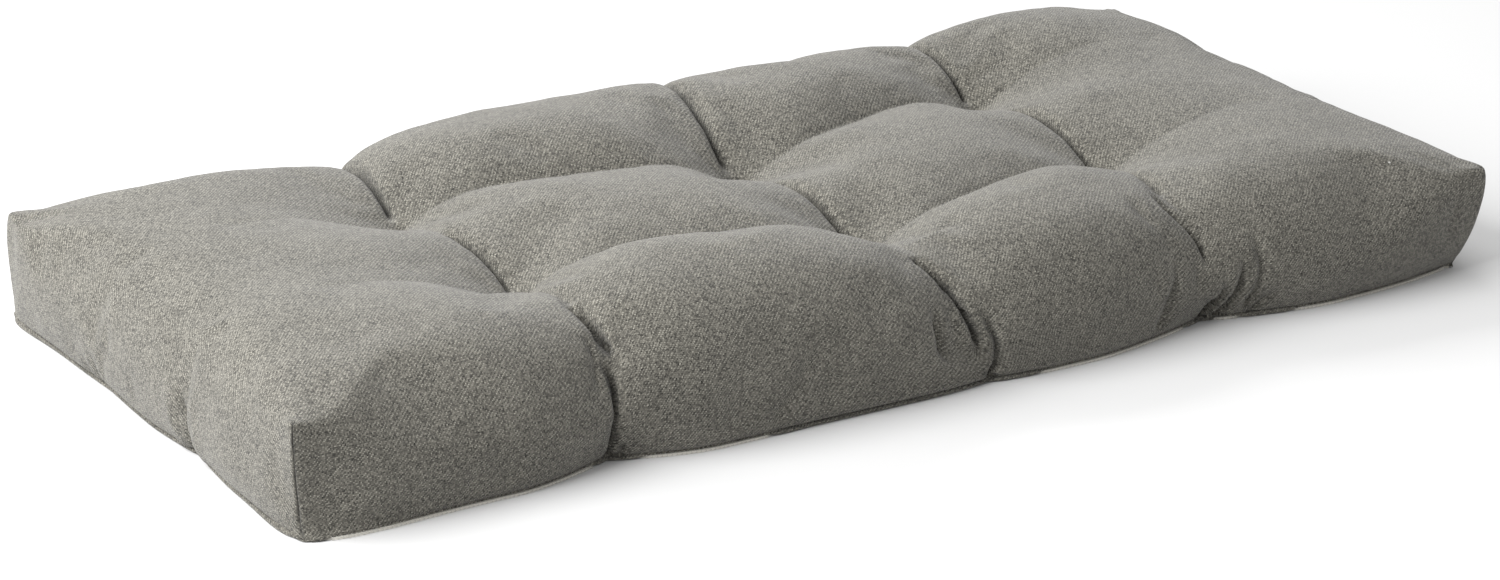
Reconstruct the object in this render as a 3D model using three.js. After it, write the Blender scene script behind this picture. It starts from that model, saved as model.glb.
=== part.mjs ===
import * as THREE from "three";

// A tufted bench cushion lying on its underside: one filled, boxed body with six pulled-down tufts,
// and the pale backing panel sewn on under it. Millimetres, +X along the length, +Y towards the back,
// +Z up, origin on the surface it rests on, under the middle.

const length = 914; // 36 in, seam to seam
const width = 432; // 17 in, seam to seam
const cornerHeight = 77; // 3 in at the corner seams
const halfLength = length / 2;
const halfWidth = width / 2;

const backing = { thickness: 1.6, gap: 0.3, lip: 1.6 };
const bodyFloor = backing.thickness + backing.gap;

const greyCloth = new THREE.MeshStandardMaterial({ color: 0x8c8a83, roughness: 0.95, metalness: 0 });
const paleBacking = new THREE.MeshStandardMaterial({ color: 0xcfccc4, roughness: 0.9, metalness: 0 });

// How high the filling lifts each pillow above the corner seams: front, middle and back rows, left to right.
const pillowRise = [
  [28, 38, 27, 25],
  [20, 27, 23, 26],
  [22, 34, 33, 37],
];
const crown = { endPower: 7, sidePower: 5, blend: 50 };

// How far the top rounds over into the walls: tight at the corner seams, wide along the middle of a side.
const longShoulder = { corner: 4, middle: 64, spread: 120 };
const endShoulder = { corner: 4, middle: 14, spread: 90 };
const shoulderPower = { corner: 3.6, middle: 2 };

// The sewn lines across the cushion, left to right. Each holds where it meets the foot of the front wall,
// the front edge, its two tufts, the back edge and the foot of the back wall.
const columns = [
  { frontFoot: -232, front: -238, nearTuft: -226, farTuft: -235, back: -222, backFoot: -226 },
  { frontFoot: 50, front: 20, nearTuft: 16, farTuft: 12, back: 34, backFoot: 40 },
  { frontFoot: 226, front: 228, nearTuft: 241, farTuft: 241, back: 240, backFoot: 243 },
];

// The lines along the cushion, front to back: where each meets the left end, the three tufts and the right end.
const rows = [
  { left: -64, tufts: [-76, -110, -69], right: -62 },
  { left: 60, tufts: [71, 43, 87], right: 80 },
];

// The height the cloth is drawn down to at each tuft, front row then back row.
const tuftHeights = [
  [66, 62, 64],
  [68, 63, 66],
];
const tuft = { reach: 104, roundness: 0.8 };

// Troughs between the tufts: depth at the front edge, between the two tufts and at the back edge,
// and how far each side of the line the cloth slopes.
const columnTroughs = [
  { front: 18, middle: 17, back: 17, reach: 124 },
  { front: 16, middle: 17, back: 4, reach: 118 },
  { front: 18, middle: 15, back: 8, reach: 112 },
];
const rowTroughs = { depth: 17, reach: 80, fade: 170 };
const troughRoundness = 0.82;
const blendPower = 3;

// The walls are pinched in at the sewn lines: how far at mid height and at the foot, and how wide.
const frontPinches = [
  { middle: 13, foot: 19, reach: 70 },
  { middle: 9, foot: 4, reach: 46 },
  { middle: 13, foot: 22, reach: 105 },
];
const backPinches = [
  { middle: 11, foot: 14, reach: 72 },
  { middle: 9, foot: 12, reach: 72 },
  { middle: 11, foot: 15, reach: 78 },
];
const endPinches = [
  { middle: 5, foot: 12, reach: 74 },
  { middle: 3, foot: 8, reach: 78 },
];

// Folds gathered at the walls: where each starts and ends up the wall, in place along it and height.
const folds = [
  { side: "front", top: [-239, 84], foot: [-233, 2], depth: 9, width: 8 },
  { side: "front", top: [-256, 66], foot: [-244, 22], depth: 2.5, width: 9 },
  { side: "front", top: [-214, 60], foot: [-222, 12], depth: 3, width: 8 },
  { side: "front", top: [24, 80], foot: [51, 2], depth: 8, width: 9 },
  { side: "front", top: [-2, 62], foot: [26, 10], depth: 3.5, width: 9 },
  { side: "front", top: [34, 66], foot: [41, 26], depth: 3, width: 7 },
  { side: "front", top: [-64, 46], foot: [-104, 6], depth: 3, width: 14 },
  { side: "front", top: [228, 82], foot: [231, 2], depth: 8, width: 8 },
  { side: "front", top: [206, 60], foot: [213, 14], depth: 3, width: 9 },
  { side: "front", top: [262, 66], foot: [248, 4], depth: 5, width: 9 },
  { side: "front", top: [292, 56], foot: [279, 4], depth: 3, width: 10 },
  { side: "back", top: [-222, 84], foot: [-226, 2], depth: 8, width: 8 },
  { side: "back", top: [34, 84], foot: [40, 2], depth: 7, width: 8 },
  { side: "back", top: [240, 84], foot: [243, 2], depth: 8, width: 8 },
  { side: "left", top: [-58, 60], foot: [-76, 4], depth: 5, width: 11 },
  { side: "left", top: [66, 52], foot: [48, 4], depth: 3, width: 14 },
  { side: "right", top: [-60, 56], foot: [-64, 4], depth: 4, width: 12 },
  { side: "right", top: [78, 56], foot: [74, 4], depth: 4, width: 12 },
];
const pinchPower = 1.5;
const foldFade = 0.25; // share of a fold's length over which it fades in above its top

// The walls stand out most at a share of the rim's height, and turn in under towards the foot.
const wall = { bulge: 4.5, bulgeSpread: 36, widestAt: 0.36, footPower: 2.6, leanFrom: 0.35, cornerReach: 8 };
const footInset = { front: 5, right: 5, back: 6, left: 0 };

// How far each lower corner is drawn in under its upper one, fading along the walls.
const cornerTuck = { frontLeft: 1, frontRight: 19, backRight: 9, backLeft: 0, fade: 75, power: 1.3, crosswise: 0.5 };

// Mesh steps: along each pillow, across each pillow, down the wall, and the passes that settle a grid point.
const steps = { along: 18, across: 12, shoulder: 8, foot: 4, settling: 12 };

const mix = (a, b, t) => a + (b - a) * t;
const clamp01 = (t) => Math.min(1, Math.max(0, t));
const smooth = (t) => clamp01(t) ** 2 * (3 - 2 * clamp01(t));
const easeEnds = (t) => (1 - Math.cos(Math.PI * t)) / 2;

// A value that passes through (place, value) pairs in rising order of place, with level ends.
function through(pairs, place) {
  if (place <= pairs[0][0]) return pairs[0][1];
  for (let k = 1; k < pairs.length; k++) {
    const [from, a] = pairs[k - 1];
    const [to, b] = pairs[k];
    if (place <= to) return mix(a, b, smooth((place - from) / (to - from)));
  }
  return pairs[pairs.length - 1][1];
}

// Where a sewn line across the cushion lies at a given distance from the front.
function columnX(column, y) {
  const c = columns[column];
  const [near, far] = rows.map((row) => row.tufts[column]);
  return through([[-halfWidth, c.front], [near, c.nearTuft], [far, c.farTuft], [halfWidth, c.back]], y);
}

// Where a line along the cushion lies at a given distance from the left end.
function rowY(row, x) {
  const r = rows[row];
  const key = row === 0 ? "nearTuft" : "farTuft";
  const knots = columns.map((c, k) => [c[key], r.tufts[k]]);
  return through([[-halfLength, r.left], ...knots, [halfLength, r.right]], x);
}

// The slope from a sewn line (0) to the pillow's top (1), steep at the line and level at the top.
function fall(distance, reach, roundness) {
  const s = clamp01(distance / reach);
  return 1 - (1 - (1 - s) ** 2) ** roundness;
}

// The pillows' own rise, passing smoothly from one to the next over the sewn lines.
function riseAt(x, y) {
  const past = (place, line) => smooth(0.5 + (place - line) / (2 * crown.blend));
  const strips = pillowRise.map((strip) => {
    return strip.reduce((rise, next, k) => (k === 0 ? next : mix(rise, next, past(x, columnX(k - 1, y)))));
  });
  const rise = strips.reduce((sum, next, r) => (r === 0 ? next : mix(sum, next, past(y, rowY(r - 1, x)))));
  const ends = 1 - Math.min(1, Math.abs(x / halfLength)) ** crown.endPower;
  const sides = 1 - Math.min(1, Math.abs(y / halfWidth)) ** crown.sidePower;
  return rise * ends * sides;
}

const tuftDepths = rows.map((row, r) => {
  return columns.map((c, k) => {
    const filled = cornerHeight + riseAt(r === 0 ? c.nearTuft : c.farTuft, row.tufts[k]);
    return filled - tuftHeights[r][k];
  });
});

// The height of the top cloth, before it rounds over into the walls.
function topHeight(x, y) {
  let drop = 0;
  columnTroughs.forEach((trough, c) => {
    const [near, far] = rows.map((row) => row.tufts[c]);
    const knots = [[-halfWidth, trough.front], [(near + far) / 2, trough.middle], [halfWidth, trough.back]];
    const depth = through(knots, y);
    drop += (depth * fall(Math.abs(x - columnX(c, y)), trough.reach, troughRoundness)) ** blendPower;
  });
  rows.forEach((row, r) => {
    const outside = Math.max(columns[0].nearTuft - x, x - columns[2].nearTuft, 0);
    const depth = rowTroughs.depth * (1 - smooth(outside / rowTroughs.fade));
    drop += (depth * fall(Math.abs(y - rowY(r, x)), rowTroughs.reach, troughRoundness)) ** blendPower;
    columns.forEach((c, k) => {
      const away = Math.hypot(x - (r === 0 ? c.nearTuft : c.farTuft), y - row.tufts[k]);
      drop += (tuftDepths[r][k] * fall(away, tuft.reach, tuft.roundness)) ** blendPower;
    });
  });
  return cornerHeight + riseAt(x, y) - drop ** (1 / blendPower);
}

// How wide the shoulder is at a given distance from the nearest corner.
const fromCorner = (distance, spread) => 1 - Math.exp(-((Math.max(0, distance) / spread) ** 2));
const shoulderWidth = (s, distance) => mix(s.corner, s.middle, fromCorner(distance, s.spread));
const sideRim = (x) => halfWidth - shoulderWidth(longShoulder, halfLength - Math.abs(x));
const endRim = (y) => halfLength - shoulderWidth(endShoulder, halfWidth - Math.abs(y));

// Grid lines follow the sewn lines, so that every trough and tuft lies on mesh edges.
function gridPoint(i, j) {
  const pillow = Math.min(columns.length, Math.floor(i / steps.along));
  const strip = Math.min(rows.length, Math.floor(j / steps.across));
  const s = easeEnds(i / steps.along - pillow);
  const t = easeEnds(j / steps.across - strip);
  const lineX = (k, y) => (k < 0 ? -endRim(y) : k >= columns.length ? endRim(y) : columnX(k, y));
  const lineY = (k, x) => (k < 0 ? -sideRim(x) : k >= rows.length ? sideRim(x) : rowY(k, x));
  let x = 0;
  let y = mix(lineY(strip - 1, 0), lineY(strip, 0), t);
  for (let pass = 0; pass < steps.settling; pass++) {
    x = mix(lineX(pillow - 1, y), lineX(pillow, y), s);
    y = mix(lineY(strip - 1, x), lineY(strip, x), t);
  }
  return { pillow, strip, s, t, point: new THREE.Vector3(x, y, topHeight(x, y)) };
}

// How far a wall is drawn in at a place along it, by the pinches at the sewn lines.
function pinchAt(place, lines, pinches, down) {
  let total = 0;
  pinches.forEach((pinch, k) => {
    const amount = mix(pinch.middle, pinch.foot, smooth(down));
    total = Math.max(total, amount * clamp01(1 - Math.abs(place - lines[k]) / pinch.reach) ** pinchPower);
  });
  return total;
}

// A wall point out from one rim point: down runs from 0 at the widest height to 1 at the foot.
function wallOutline(g, side, down) {
  const stretch = (v, half, inset) => v + Math.sign(v) * inset * Math.abs(v / (half - inset)) ** wall.cornerReach;
  const { x: rimX, y: rimY } = g.point;
  const inset = footInset[side] * (1 - (1 - down ** wall.footPower) ** (1 / wall.footPower));
  if (side === "left" || side === "right") {
    const y = stretch(rimY, halfWidth, longShoulder.corner);
    const bulge = wall.bulge * fromCorner(halfWidth - Math.abs(y), wall.bulgeSpread);
    const pinch = pinchAt(y, rows.map((row) => row[side]), endPinches, down);
    return { x: Math.sign(rimX) * (halfLength + bulge - pinch - inset), y };
  }
  const lean = smooth(wall.leanFrom + (1 - wall.leanFrom) * down);
  const shifts = columns.map((c) => (c[side + "Foot"] - c[side]) * lean);
  const x = stretch(rimX, halfLength, endShoulder.corner) + mix(shifts[g.pillow - 1] ?? 0, shifts[g.pillow] ?? 0, g.s);
  const lines = columns.map((c, k) => c[side] + shifts[k]);
  const bulge = wall.bulge * fromCorner(halfLength - Math.abs(x), wall.bulgeSpread);
  const pinch = pinchAt(x, lines, side === "front" ? frontPinches : backPinches, down);
  return { x, y: Math.sign(rimY) * (halfWidth + bulge - pinch - inset) };
}

// How far the folds draw a wall in at a place along it and a height.
function foldAt(side, place, z) {
  let depth = 0;
  folds.filter((fold) => fold.side === side).forEach((fold) => {
    const [topPlace, topZ] = fold.top;
    const [footPlace, footZ] = fold.foot;
    const t = (topZ - z) / (topZ - footZ);
    const fadeIn = smooth((t + foldFade) / (2 * foldFade));
    const off = Math.abs(place - mix(topPlace, footPlace, clamp01(t))) / fold.width;
    depth = Math.max(depth, fold.depth * fadeIn * Math.exp(-(off ** 2)));
  });
  return depth;
}

// Draws the lower corners in, fading out along both walls.
function tuckCorner({ x, y }, down) {
  const corner = (y < 0 ? "front" : "back") + (x < 0 ? "Left" : "Right");
  const away = Math.max(0, halfLength - Math.abs(x)) + Math.max(0, halfWidth - Math.abs(y));
  const tuck = cornerTuck[corner] * down ** cornerTuck.power * Math.exp(-away / cornerTuck.fade);
  return { x: x - Math.sign(x) * tuck, y: y - Math.sign(y) * tuck * cornerTuck.crosswise };
}

// The wall under one rim point, from the shoulder down to the foot.
function wallPoints(g, side) {
  const rim = g.point;
  const onEnd = side === "left" || side === "right";
  const s = onEnd ? endShoulder : longShoulder;
  const away = onEnd ? halfWidth - Math.abs(rim.y) : halfLength - Math.abs(rim.x);
  const power = mix(shoulderPower.corner, shoulderPower.middle, fromCorner(away - s.corner, s.spread));
  const widest = wallOutline(g, side, 0);
  const widestZ = wall.widestAt * rim.z;
  const points = [];
  const addFolded = (x, y, z) => {
    const fold = foldAt(side, onEnd ? y : x, z);
    points.push(new THREE.Vector3(x - (onEnd ? Math.sign(x) * fold : 0), y - (onEnd ? 0 : Math.sign(y) * fold), z));
  };
  for (let k = 1; k <= steps.shoulder; k++) {
    const angle = (k / steps.shoulder) * (Math.PI / 2);
    const out = k === steps.shoulder ? 1 : Math.sin(angle) ** (2 / power);
    const up = k === steps.shoulder ? 0 : Math.cos(angle) ** (2 / power);
    addFolded(mix(rim.x, widest.x, out), mix(rim.y, widest.y, out), mix(widestZ, rim.z, up));
  }
  for (let k = 1; k <= steps.foot; k++) {
    const down = Math.sin((k / steps.foot) * (Math.PI / 2));
    const tucked = tuckCorner(wallOutline(g, side, down), down);
    addFolded(tucked.x, tucked.y, mix(widestZ, bodyFloor, down));
  }
  return points;
}

// The rim of the top grid, once round: which grid line it is on and which wall hangs from it.
function rimWalk(across, up) {
  const walk = [];
  for (let i = 0; i < across; i++) walk.push([i, 0, "front"]);
  for (let j = 0; j < up; j++) walk.push([across, j, "right"]);
  for (let i = across; i > 0; i--) walk.push([i, up, "back"]);
  for (let j = up; j > 0; j--) walk.push([0, j, "left"]);
  return walk;
}

// A mesh built up point by point.
function startMesh() {
  const positions = [];
  const triangles = [];
  const add = (x, y, z) => positions.push(x, y, z) / 3 - 1;
  const quad = (a, b, c, d) => triangles.push(a, b, c, a, c, d);
  const band = (upper, lower) => {
    upper.forEach((a, n) => {
      const m = (n + 1) % upper.length;
      quad(a, lower[n], lower[m], upper[m]);
    });
  };
  // Closes a loop with triangles that meet in its middle, facing up or down.
  const cap = (loop, z, facesUp) => {
    const hub = add(0, 0, z);
    loop.forEach((a, n) => {
      const b = loop[(n + 1) % loop.length];
      triangles.push(...(facesUp ? [hub, a, b] : [hub, b, a]));
    });
  };
  const finish = () => {
    const geometry = new THREE.BufferGeometry();
    geometry.setAttribute("position", new THREE.Float32BufferAttribute(positions, 3));
    geometry.setIndex(triangles);
    geometry.computeVertexNormals();
    return geometry;
  };
  return { add, quad, band, cap, finish };
}

// The filled body: the tufted top, its walls in rings below the rim, and a flat floor.
function makeBody() {
  const across = steps.along * (columns.length + 1);
  const up = steps.across * (rows.length + 1);
  const mesh = startMesh();
  const addPoint = (p) => mesh.add(p.x, p.y, p.z);
  const top = [];
  for (let j = 0; j <= up; j++) {
    top.push([]);
    for (let i = 0; i <= across; i++) top[j].push(addPoint(gridPoint(i, j).point));
  }
  for (let j = 0; j < up; j++) {
    for (let i = 0; i < across; i++) mesh.quad(top[j][i], top[j][i + 1], top[j + 1][i + 1], top[j + 1][i]);
  }
  const walk = rimWalk(across, up);
  const wallColumns = walk.map(([i, j, side]) => wallPoints(gridPoint(i, j), side));
  let ring = walk.map(([i, j]) => top[j][i]);
  for (let k = 0; k < steps.shoulder + steps.foot; k++) {
    const next = wallColumns.map((wallColumn) => addPoint(wallColumn[k]));
    mesh.band(ring, next);
    ring = next;
  }
  mesh.cap(ring, bodyFloor, false);
  const footLoop = wallColumns.map((wallColumn) => wallColumn[wallColumn.length - 1]);
  return { geometry: mesh.finish(), footLoop };
}

// The backing panel: the foot's outline with a small lip all round, where its sewn edge shows.
function makeBacking(footLoop) {
  const mesh = startMesh();
  const outline = footLoop.map((p, n) => {
    const before = footLoop[(n + footLoop.length - 1) % footLoop.length];
    const after = footLoop[(n + 1) % footLoop.length];
    return new THREE.Vector3(after.y - before.y, before.x - after.x, 0).setLength(backing.lip).add(p);
  });
  const upper = outline.map((p) => mesh.add(p.x, p.y, backing.thickness));
  const lower = outline.map((p) => mesh.add(p.x, p.y, 0));
  mesh.band(upper, lower);
  mesh.cap(upper, backing.thickness, true);
  mesh.cap(lower, 0, false);
  return mesh.finish();
}

const { geometry: bodyGeometry, footLoop } = makeBody();
const body = new THREE.Mesh(bodyGeometry, greyCloth);
body.name = "cushion_body";
const panel = new THREE.Mesh(makeBacking(footLoop), paleBacking);
panel.name = "backing_panel";

// The drawn-in lower corners and pinches aren't even, so both pieces move by the small offset of the middle.
const cushion = new THREE.Group();
cushion.add(body, panel);
const box = new THREE.Box3().setFromObject(cushion);
const middle = box.getCenter(new THREE.Vector3());
cushion.position.set(-middle.x, -middle.y, -box.min.z);

export default cushion;
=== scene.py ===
import bpy
import math
import numpy as np
from mathutils import Matrix, Vector


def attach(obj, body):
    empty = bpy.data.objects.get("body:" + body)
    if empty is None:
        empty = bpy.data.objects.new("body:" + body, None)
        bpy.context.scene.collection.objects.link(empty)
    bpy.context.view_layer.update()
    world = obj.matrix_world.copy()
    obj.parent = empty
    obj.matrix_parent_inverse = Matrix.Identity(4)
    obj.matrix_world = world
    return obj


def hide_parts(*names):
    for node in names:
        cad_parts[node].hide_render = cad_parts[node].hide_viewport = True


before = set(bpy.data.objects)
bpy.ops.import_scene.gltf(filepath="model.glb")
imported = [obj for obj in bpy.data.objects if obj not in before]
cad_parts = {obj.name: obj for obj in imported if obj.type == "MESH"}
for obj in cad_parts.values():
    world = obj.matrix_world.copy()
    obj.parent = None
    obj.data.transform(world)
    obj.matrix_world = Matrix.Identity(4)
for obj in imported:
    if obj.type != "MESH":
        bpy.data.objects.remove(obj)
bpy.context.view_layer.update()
mm = 0.001
scene = bpy.context.scene
print("frame loaded:", sorted(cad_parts))


# camera, at the photograph's angle
cameraView = {
    "place": (-1.5033, -2.4036, 1.1023),
    "azimuth": -31.91,
    "elevation": 21.2,
    "roll": 0.69,
    "lens": 106.0,
    "sensor": 36,  # mm wide
}


def addCamera(v):
    a, e, r = (math.radians(v[k]) for k in ("azimuth", "elevation", "roll"))
    forward = Vector((-math.sin(a) * math.cos(e), math.cos(a) * math.cos(e), -math.sin(e)))
    right = Vector((math.cos(a), math.sin(a), 0))
    up = right.cross(forward)
    right, up = right * math.cos(r) + up * math.sin(r), up * math.cos(r) - right * math.sin(r)
    camera = bpy.data.objects.new("camera", bpy.data.cameras.new("camera"))
    scene.collection.objects.link(camera)
    camera.data.sensor_fit = "HORIZONTAL"
    camera.data.sensor_width = v["sensor"]
    camera.data.lens = v["lens"]
    turn = Matrix((right, up, -forward)).transposed().to_4x4()
    camera.matrix_world = Matrix.Translation(v["place"]) @ turn
    scene.camera = camera


# the filled body: tufted top, rounded shoulders, pinched walls, in millimetres
cushionShape = {
    "length": 914,
    # the ends run a little out of square: mm added at each end corner
    "skew": {"backLeft": 2, "frontRight": 11, "power": 6},
    "width": 432,
    "cornerHeight": 77,
    "floor": 3.8,  # the wall ends here, in the seam that runs round the foot
    # rise of each pillow over the corner seams: front, middle and back rows, left to right
    "rises": ((28, 38, 27, 25), (24, 27, 23, 26), (23, 36, 33, 38)),
    "crown": {"endPower": 8, "sidePower": 6, "blend": 50},
    "longShoulder": {"corner": 4, "middle": 61, "spread": 52},
    "endShoulder": {"corner": 4, "middle": 16, "spread": 60},
    "shoulderPower": {"corner": 3.6, "middle": 2},
    # sewn lines across, each: foot of front wall, front edge, near tuft, far tuft, back edge
    # and foot of back wall
    "columns": (
        (-231, -228, -226, -235, -222, -226),
        (50, 14, 16, 12, 34, 40),
        (237, 218, 241, 241, 240, 243),
    ),
    # lines along, each: left end, three tufts, right end
    "rows": ((-64, -76, -110, -69, -62), (60, 71, 43, 87, 80)),
    "tuftHeights": ((66, 62, 64), (68, 63, 66)),
    "tuft": {"reach": 125, "roundness": 1.0},
    # trough depth at the front edge, between the tufts and at the back edge, and its reach
    "columnTroughs": ((18, 17, 18, 124), (16, 17, 2, 118), (18, 15, 10, 112)),
    "rowTroughs": {"depth": 19, "reach": 72, "fade": 135},
    "troughRoundness": 0.82,
    "blendPower": 3,
    # pinches of the walls at the sewn lines: at mid height, at the foot, and reach
    "frontPinches": ((13, 19, 70), (9, 4, 46), (13, 22, 105)),
    "backPinches": ((11, 14, 72), (6, 10, 66), (11, 15, 78)),
    "endPinches": ((4, 6, 60), (2, 2, 60)),
    "pinchPower": 1.5,
    "wall": {
        "bulge": {"front": 4.5, "right": 4.5, "back": 4.5, "left": 2},
        "bulgeSpread": 36,
        "widestAt": 0.36,
        "footPower": 2.6,
        "leanFrom": 0.35,
        "cornerReach": 8,
        "endInsetSpread": 50,
        # towards its left end the foot of a long wall stands out instead
        "flare": 0.7,
        "flareSpread": 85,
    },
    "footInset": {"front": 5, "right": 6, "back": 6, "left": 8},
    # the corners draw in towards the foot: how far, how far along the walls, the share crosswise
    # and the power
    "cornerTucks": {
        ("front", "left"): (9, 24, 1.0, 1.4),
        ("front", "right"): (14, 90, 1.1, 2.0),
        ("back", "right"): (10, 60, 0.5, 1.4),
        ("back", "left"): (5, 14, 0.5, 2.0),
    },
    "steps": {"along": 40, "across": 26, "shoulder": 14, "foot": 7, "evenness": 0.5, "settling": 12},
}


def ramp(t):
    t = np.clip(t, 0, 1)
    return t * t * (3 - 2 * t)


def through(places, values, at):
    # smooth steps from value to value, level at each place
    k = np.clip(np.searchsorted(places, at) - 1, 0, len(places) - 2)
    places, values = np.asarray(places, float), np.asarray(values, float)
    t = ramp((at - places[k]) / (places[k + 1] - places[k]))
    return values[k] + (values[k + 1] - values[k]) * t


def columnX(c, y):
    s = cushionShape
    front, near, far, back = s["columns"][c][1:5]
    places = (-s["width"] / 2, s["rows"][0][c + 1], s["rows"][1][c + 1], s["width"] / 2)
    return through(places, (front, near, far, back), y)


def rowY(r, x):
    s = cushionShape
    places = (-s["length"] / 2, *(column[2 + r] for column in s["columns"]), s["length"] / 2)
    return through(places, s["rows"][r], x)


def fall(distance, reach, roundness):
    t = np.clip(distance / reach, 0, 1)
    return 1 - (1 - (1 - t) ** 2) ** roundness


def riseAt(x, y):
    s = cushionShape
    crown = s["crown"]
    strips = []
    for strip in s["rises"]:
        rise = strip[0] + 0 * x
        for c in range(3):
            rise = rise + (strip[c + 1] - rise) * ramp(0.5 + (x - columnX(c, y)) / (2 * crown["blend"]))
        strips.append(rise)
    rise = strips[0]
    for r in range(2):
        rise = rise + (strips[r + 1] - rise) * ramp(0.5 + (y - rowY(r, x)) / (2 * crown["blend"]))
    ends = 1 - np.minimum(1, abs(x) / (s["length"] / 2)) ** crown["endPower"]
    sides = 1 - np.minimum(1, abs(y) / (s["width"] / 2)) ** crown["sidePower"]
    return rise * ends * sides


def topHeight(x, y):
    s = cushionShape
    power = s["blendPower"]
    drop = 0 * x
    for c, (front, middle, back, reach) in enumerate(s["columnTroughs"]):
        near, far = s["rows"][0][c + 1], s["rows"][1][c + 1]
        depth = through((-s["width"] / 2, (near + far) / 2, s["width"] / 2), (front, middle, back), y)
        drop = drop + (depth * fall(abs(x - columnX(c, y)), reach, s["troughRoundness"])) ** power
    lines = s["rowTroughs"]
    outside = np.maximum(np.maximum(s["columns"][0][2] - x, x - s["columns"][2][2]), 0)
    depth = lines["depth"] * (1 - ramp(outside / lines["fade"]))
    for r in range(2):
        drop = drop + (depth * fall(abs(y - rowY(r, x)), lines["reach"], s["troughRoundness"])) ** power
        for c in range(3):
            tuftX, tuftY = s["columns"][c][2 + r], s["rows"][r][c + 1]
            untufted = s["cornerHeight"] + riseAt(np.float64(tuftX), np.float64(tuftY))
            tuftDepth = untufted - s["tuftHeights"][r][c]
            away = np.hypot(x - tuftX, y - tuftY)
            drop = drop + (tuftDepth * fall(away, s["tuft"]["reach"], s["tuft"]["roundness"])) ** power
    return s["cornerHeight"] + riseAt(x, y) - drop ** (1 / power)


def fromCorner(distance, spread):
    return 1 - np.exp(-((np.maximum(0, distance) / spread) ** 2))


def shoulderWidth(s, distance):
    return s["corner"] + (s["middle"] - s["corner"]) * fromCorner(distance, s["spread"])


def gridPoints(i, j):
    # the mesh lines follow the sewn lines, so that each trough and tuft lies on one
    s = cushionShape
    step = s["steps"]
    half = np.array((s["length"], s["width"])) / 2
    pillow = np.minimum(3, i // step["along"])
    strip = np.minimum(2, j // step["across"])

    def ease(t):
        return step["evenness"] * t + (1 - step["evenness"]) * (1 - np.cos(np.pi * t)) / 2

    t = ease(i / step["along"] - pillow)
    v = ease(j / step["across"] - strip)

    def lineX(k, y):
        end = half[0] - shoulderWidth(s["endShoulder"], half[1] - abs(y))
        lines = np.stack([-end, columnX(0, y), columnX(1, y), columnX(2, y), end])
        return np.take_along_axis(lines, (k + 1)[None], 0)[0]

    def lineY(k, x):
        side = half[1] - shoulderWidth(s["longShoulder"], half[0] - abs(x))
        lines = np.stack([-side, rowY(0, x), rowY(1, x), side])
        return np.take_along_axis(lines, (k + 1)[None], 0)[0]

    x = 0.0 * i
    y = lineY(strip - 1, x) * (1 - v) + lineY(strip, x) * v
    for settle in range(step["settling"]):
        x = lineX(pillow - 1, y) * (1 - t) + lineX(pillow, y) * t
        y = lineY(strip - 1, x) * (1 - v) + lineY(strip, x) * v
    return x, y, pillow, t


def pinchAt(place, lines, pinches, down):
    total = 0 * place
    for line, (middle, foot, reach) in zip(lines, pinches):
        amount = middle + (foot - middle) * ramp(down)
        near = np.clip(1 - abs(place - line) / reach, 0, 1) ** cushionShape["pinchPower"]
        total = np.maximum(total, amount * near)
    return total


def wallOutline(side, x, y, pillow, t, down):
    # out from one stretch of rim: down runs from 0 at the widest height to 1 at the foot
    s = cushionShape
    wall = s["wall"]
    half = np.array((s["length"], s["width"])) / 2
    inset = s["footInset"][side] * (1 - (1 - down ** wall["footPower"]) ** (1 / wall["footPower"]))

    def stretch(v, edge, corner):
        return v + np.sign(v) * corner * abs(v / (edge - corner)) ** wall["cornerReach"]

    if side in ("left", "right"):
        outY = stretch(y, half[1], s["longShoulder"]["corner"])
        bulge = wall["bulge"][side] * fromCorner(half[1] - abs(outY), wall["bulgeSpread"])
        lines = [row[0 if side == "left" else 4] for row in s["rows"]]
        pinch = pinchAt(outY, lines, s["endPinches"], down)
        inset = inset * fromCorner(half[1] - abs(outY), wall["endInsetSpread"])
        return np.sign(x) * (half[0] + bulge - pinch - inset), outY
    edge, foot = (1, 0) if side == "front" else (4, 5)
    lean = ramp(np.float64(wall["leanFrom"] + (1 - wall["leanFrom"]) * down))
    shifts = np.array([0] + [(c[foot] - c[edge]) * lean for c in s["columns"]] + [0])
    outX = stretch(x, half[0], s["endShoulder"]["corner"])
    outX = outX + shifts[pillow] * (1 - t) + shifts[pillow + 1] * t
    lines = [c[edge] + shift for c, shift in zip(s["columns"], shifts[1:])]
    bulge = wall["bulge"][side] * fromCorner(half[0] - abs(outX), wall["bulgeSpread"])
    pinch = pinchAt(outX, lines, s[side + "Pinches"], down)
    inset = inset * (1 - (1 + wall["flare"]) * np.exp(-((half[0] + outX) / wall["flareSpread"]) ** 2))
    return outX, np.sign(y) * (half[1] + bulge - pinch - inset)


def skewEnds(places):
    # draws the ends a little out of square
    s = cushionShape
    x, y = places.T[:2]
    out = np.minimum(1, abs(x) / (s["length"] / 2)) ** s["skew"]["power"]
    toBack = np.clip(0.5 + y / s["width"], 0, 1)
    added = np.where(x < 0, -s["skew"]["backLeft"] * toBack, s["skew"]["frontRight"] * (1 - toBack))
    return places + (added * out)[:, None] * (1, 0, 0)


def tuckCorners(places):
    # draws each corner in towards its foot
    s = cushionShape
    x, y, z = places.T
    low = np.clip(1 - z / s["cornerHeight"], 0, 1)
    moved = places.copy()
    for (side, end), (tuck, fade, crosswise, power) in s["cornerTucks"].items():
        toEnd, toSide = 1 - 2 * (end == "left"), 1 - 2 * (side == "front")
        away = abs(s["length"] / 2 - toEnd * x) + abs(s["width"] / 2 - toSide * y)
        amount = tuck * low ** power * np.exp(-away / fade)
        moved[:, 0] -= toEnd * amount
        moved[:, 1] -= toSide * amount * crosswise
    return moved


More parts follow.
